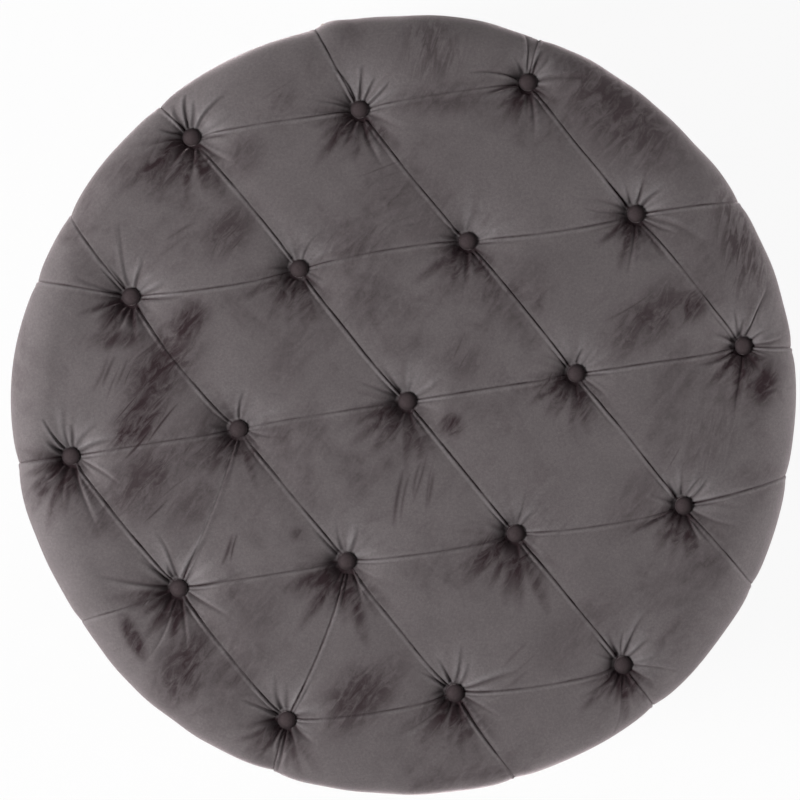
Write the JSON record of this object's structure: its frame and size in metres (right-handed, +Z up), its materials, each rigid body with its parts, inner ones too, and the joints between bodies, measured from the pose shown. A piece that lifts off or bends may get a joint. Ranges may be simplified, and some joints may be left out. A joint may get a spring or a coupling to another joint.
{
  "type": "storage ottoman",
  "caption": "Round upholstered storage ottoman with a deep-buttoned velvet lid hinged at the back, two lid stays and turned feet",
  "frame": {"origin": "on the floor under the middle of the drum", "axes": "+Z up, the hinge is at +Y, so the front is -Y and +X is to the right seen from the front"},
  "size_m": [0.8598, 0.8598, 0.4498],
  "materials": {
    "velvet": "grey-mauve velvet with a soft nap",
    "foam": "open-cell upholstery foam",
    "batting": "polyester batting",
    "lining": "plain woven lining",
    "dust_cloth": "non-woven dust cloth",
    "plywood": "plywood, uncoated",
    "bent_board": "thin bending board",
    "softwood": "planed softwood",
    "foot_wood": "turned wood, dark satin stain",
    "glide": "nylon",
    "twine": "waxed tufting twine",
    "hinge_metal": "brass-plated steel",
    "steel": "zinc-plated steel"
  },
  "bodies": {
    "base": {"floor_board": "plywood", "top_ring": "plywood", "outer_board": "bent_board", "inner_board": "bent_board", "wall_foam": "foam", "drum_cover": "velvet", "wall_lining": "lining", "floor_panel": "lining", "dust_cover": "dust_cloth", "glides": "glide", "foot_bolts": "steel", "tee_nuts": "steel", "ring_screws": "hinge_metal", "bracket_screws": "steel", "frame_post_1": "softwood", "frame_post_2": "softwood", "frame_post_3": "softwood", "frame_post_4": "softwood", "frame_post_5": "softwood", "frame_post_6": "softwood", "frame_post_7": "softwood", "frame_post_8": "softwood", "foot_front_left": "foot_wood", "foot_front_right": "foot_wood", "foot_back_right": "foot_wood", "foot_back_left": "foot_wood", "ring_leaf_left": "hinge_metal", "ring_leaf_right": "hinge_metal", "hinge_pin_left": "hinge_metal", "hinge_pin_right": "hinge_metal", "stay_bracket_left": "steel", "stay_bracket_right": "steel", "stay_stud_left": "steel", "stay_stud_right": "steel"},
    "lid": {"lid_board": "plywood", "lid_foam": "foam", "lid_batting": "batting", "lid_cover": "velvet", "lid_lining": "lining", "tuft_buttons": "velvet", "button_shanks": "steel", "tufting_twines": "twine", "twine_washers": "steel", "lid_screws": "hinge_metal", "plate_screws": "steel", "lid_leaf_left": "hinge_metal", "lid_leaf_right": "hinge_metal", "lid_plate_left": "steel", "lid_plate_right": "steel", "stay_rivet_left": "steel", "stay_rivet_right": "steel"},
    "stay_arm_left": {"stay_arm_left": "steel"},
    "stay_arm_right": {"stay_arm_right": "steel"}
  },
  "joints": [
    {"name": "lid_hinge", "type": "hinge", "parent": "base", "child": "lid", "pos_m": [0, 0.4188, 0.32], "axis": [-1, 0, 0], "range_deg": [0, 92]},
    {"name": "stay_left_pivot", "type": "hinge", "parent": "lid", "child": "stay_arm_left", "pos_m": [-0.122, 0.30611, 0.31], "axis": [-1, 0, 0], "range_deg": [-46, 0]},
    {"name": "stay_right_pivot", "type": "hinge", "parent": "lid", "child": "stay_arm_right", "pos_m": [0.122, 0.30611, 0.31], "axis": [-1, 0, 0], "range_deg": [-46, 0]}
  ],
  "couplings": [
    {"joint": "stay_left_pivot", "follows": "lid_hinge", "ratio": -0.5},
    {"joint": "stay_right_pivot", "follows": "lid_hinge", "ratio": -0.5}
  ]
}
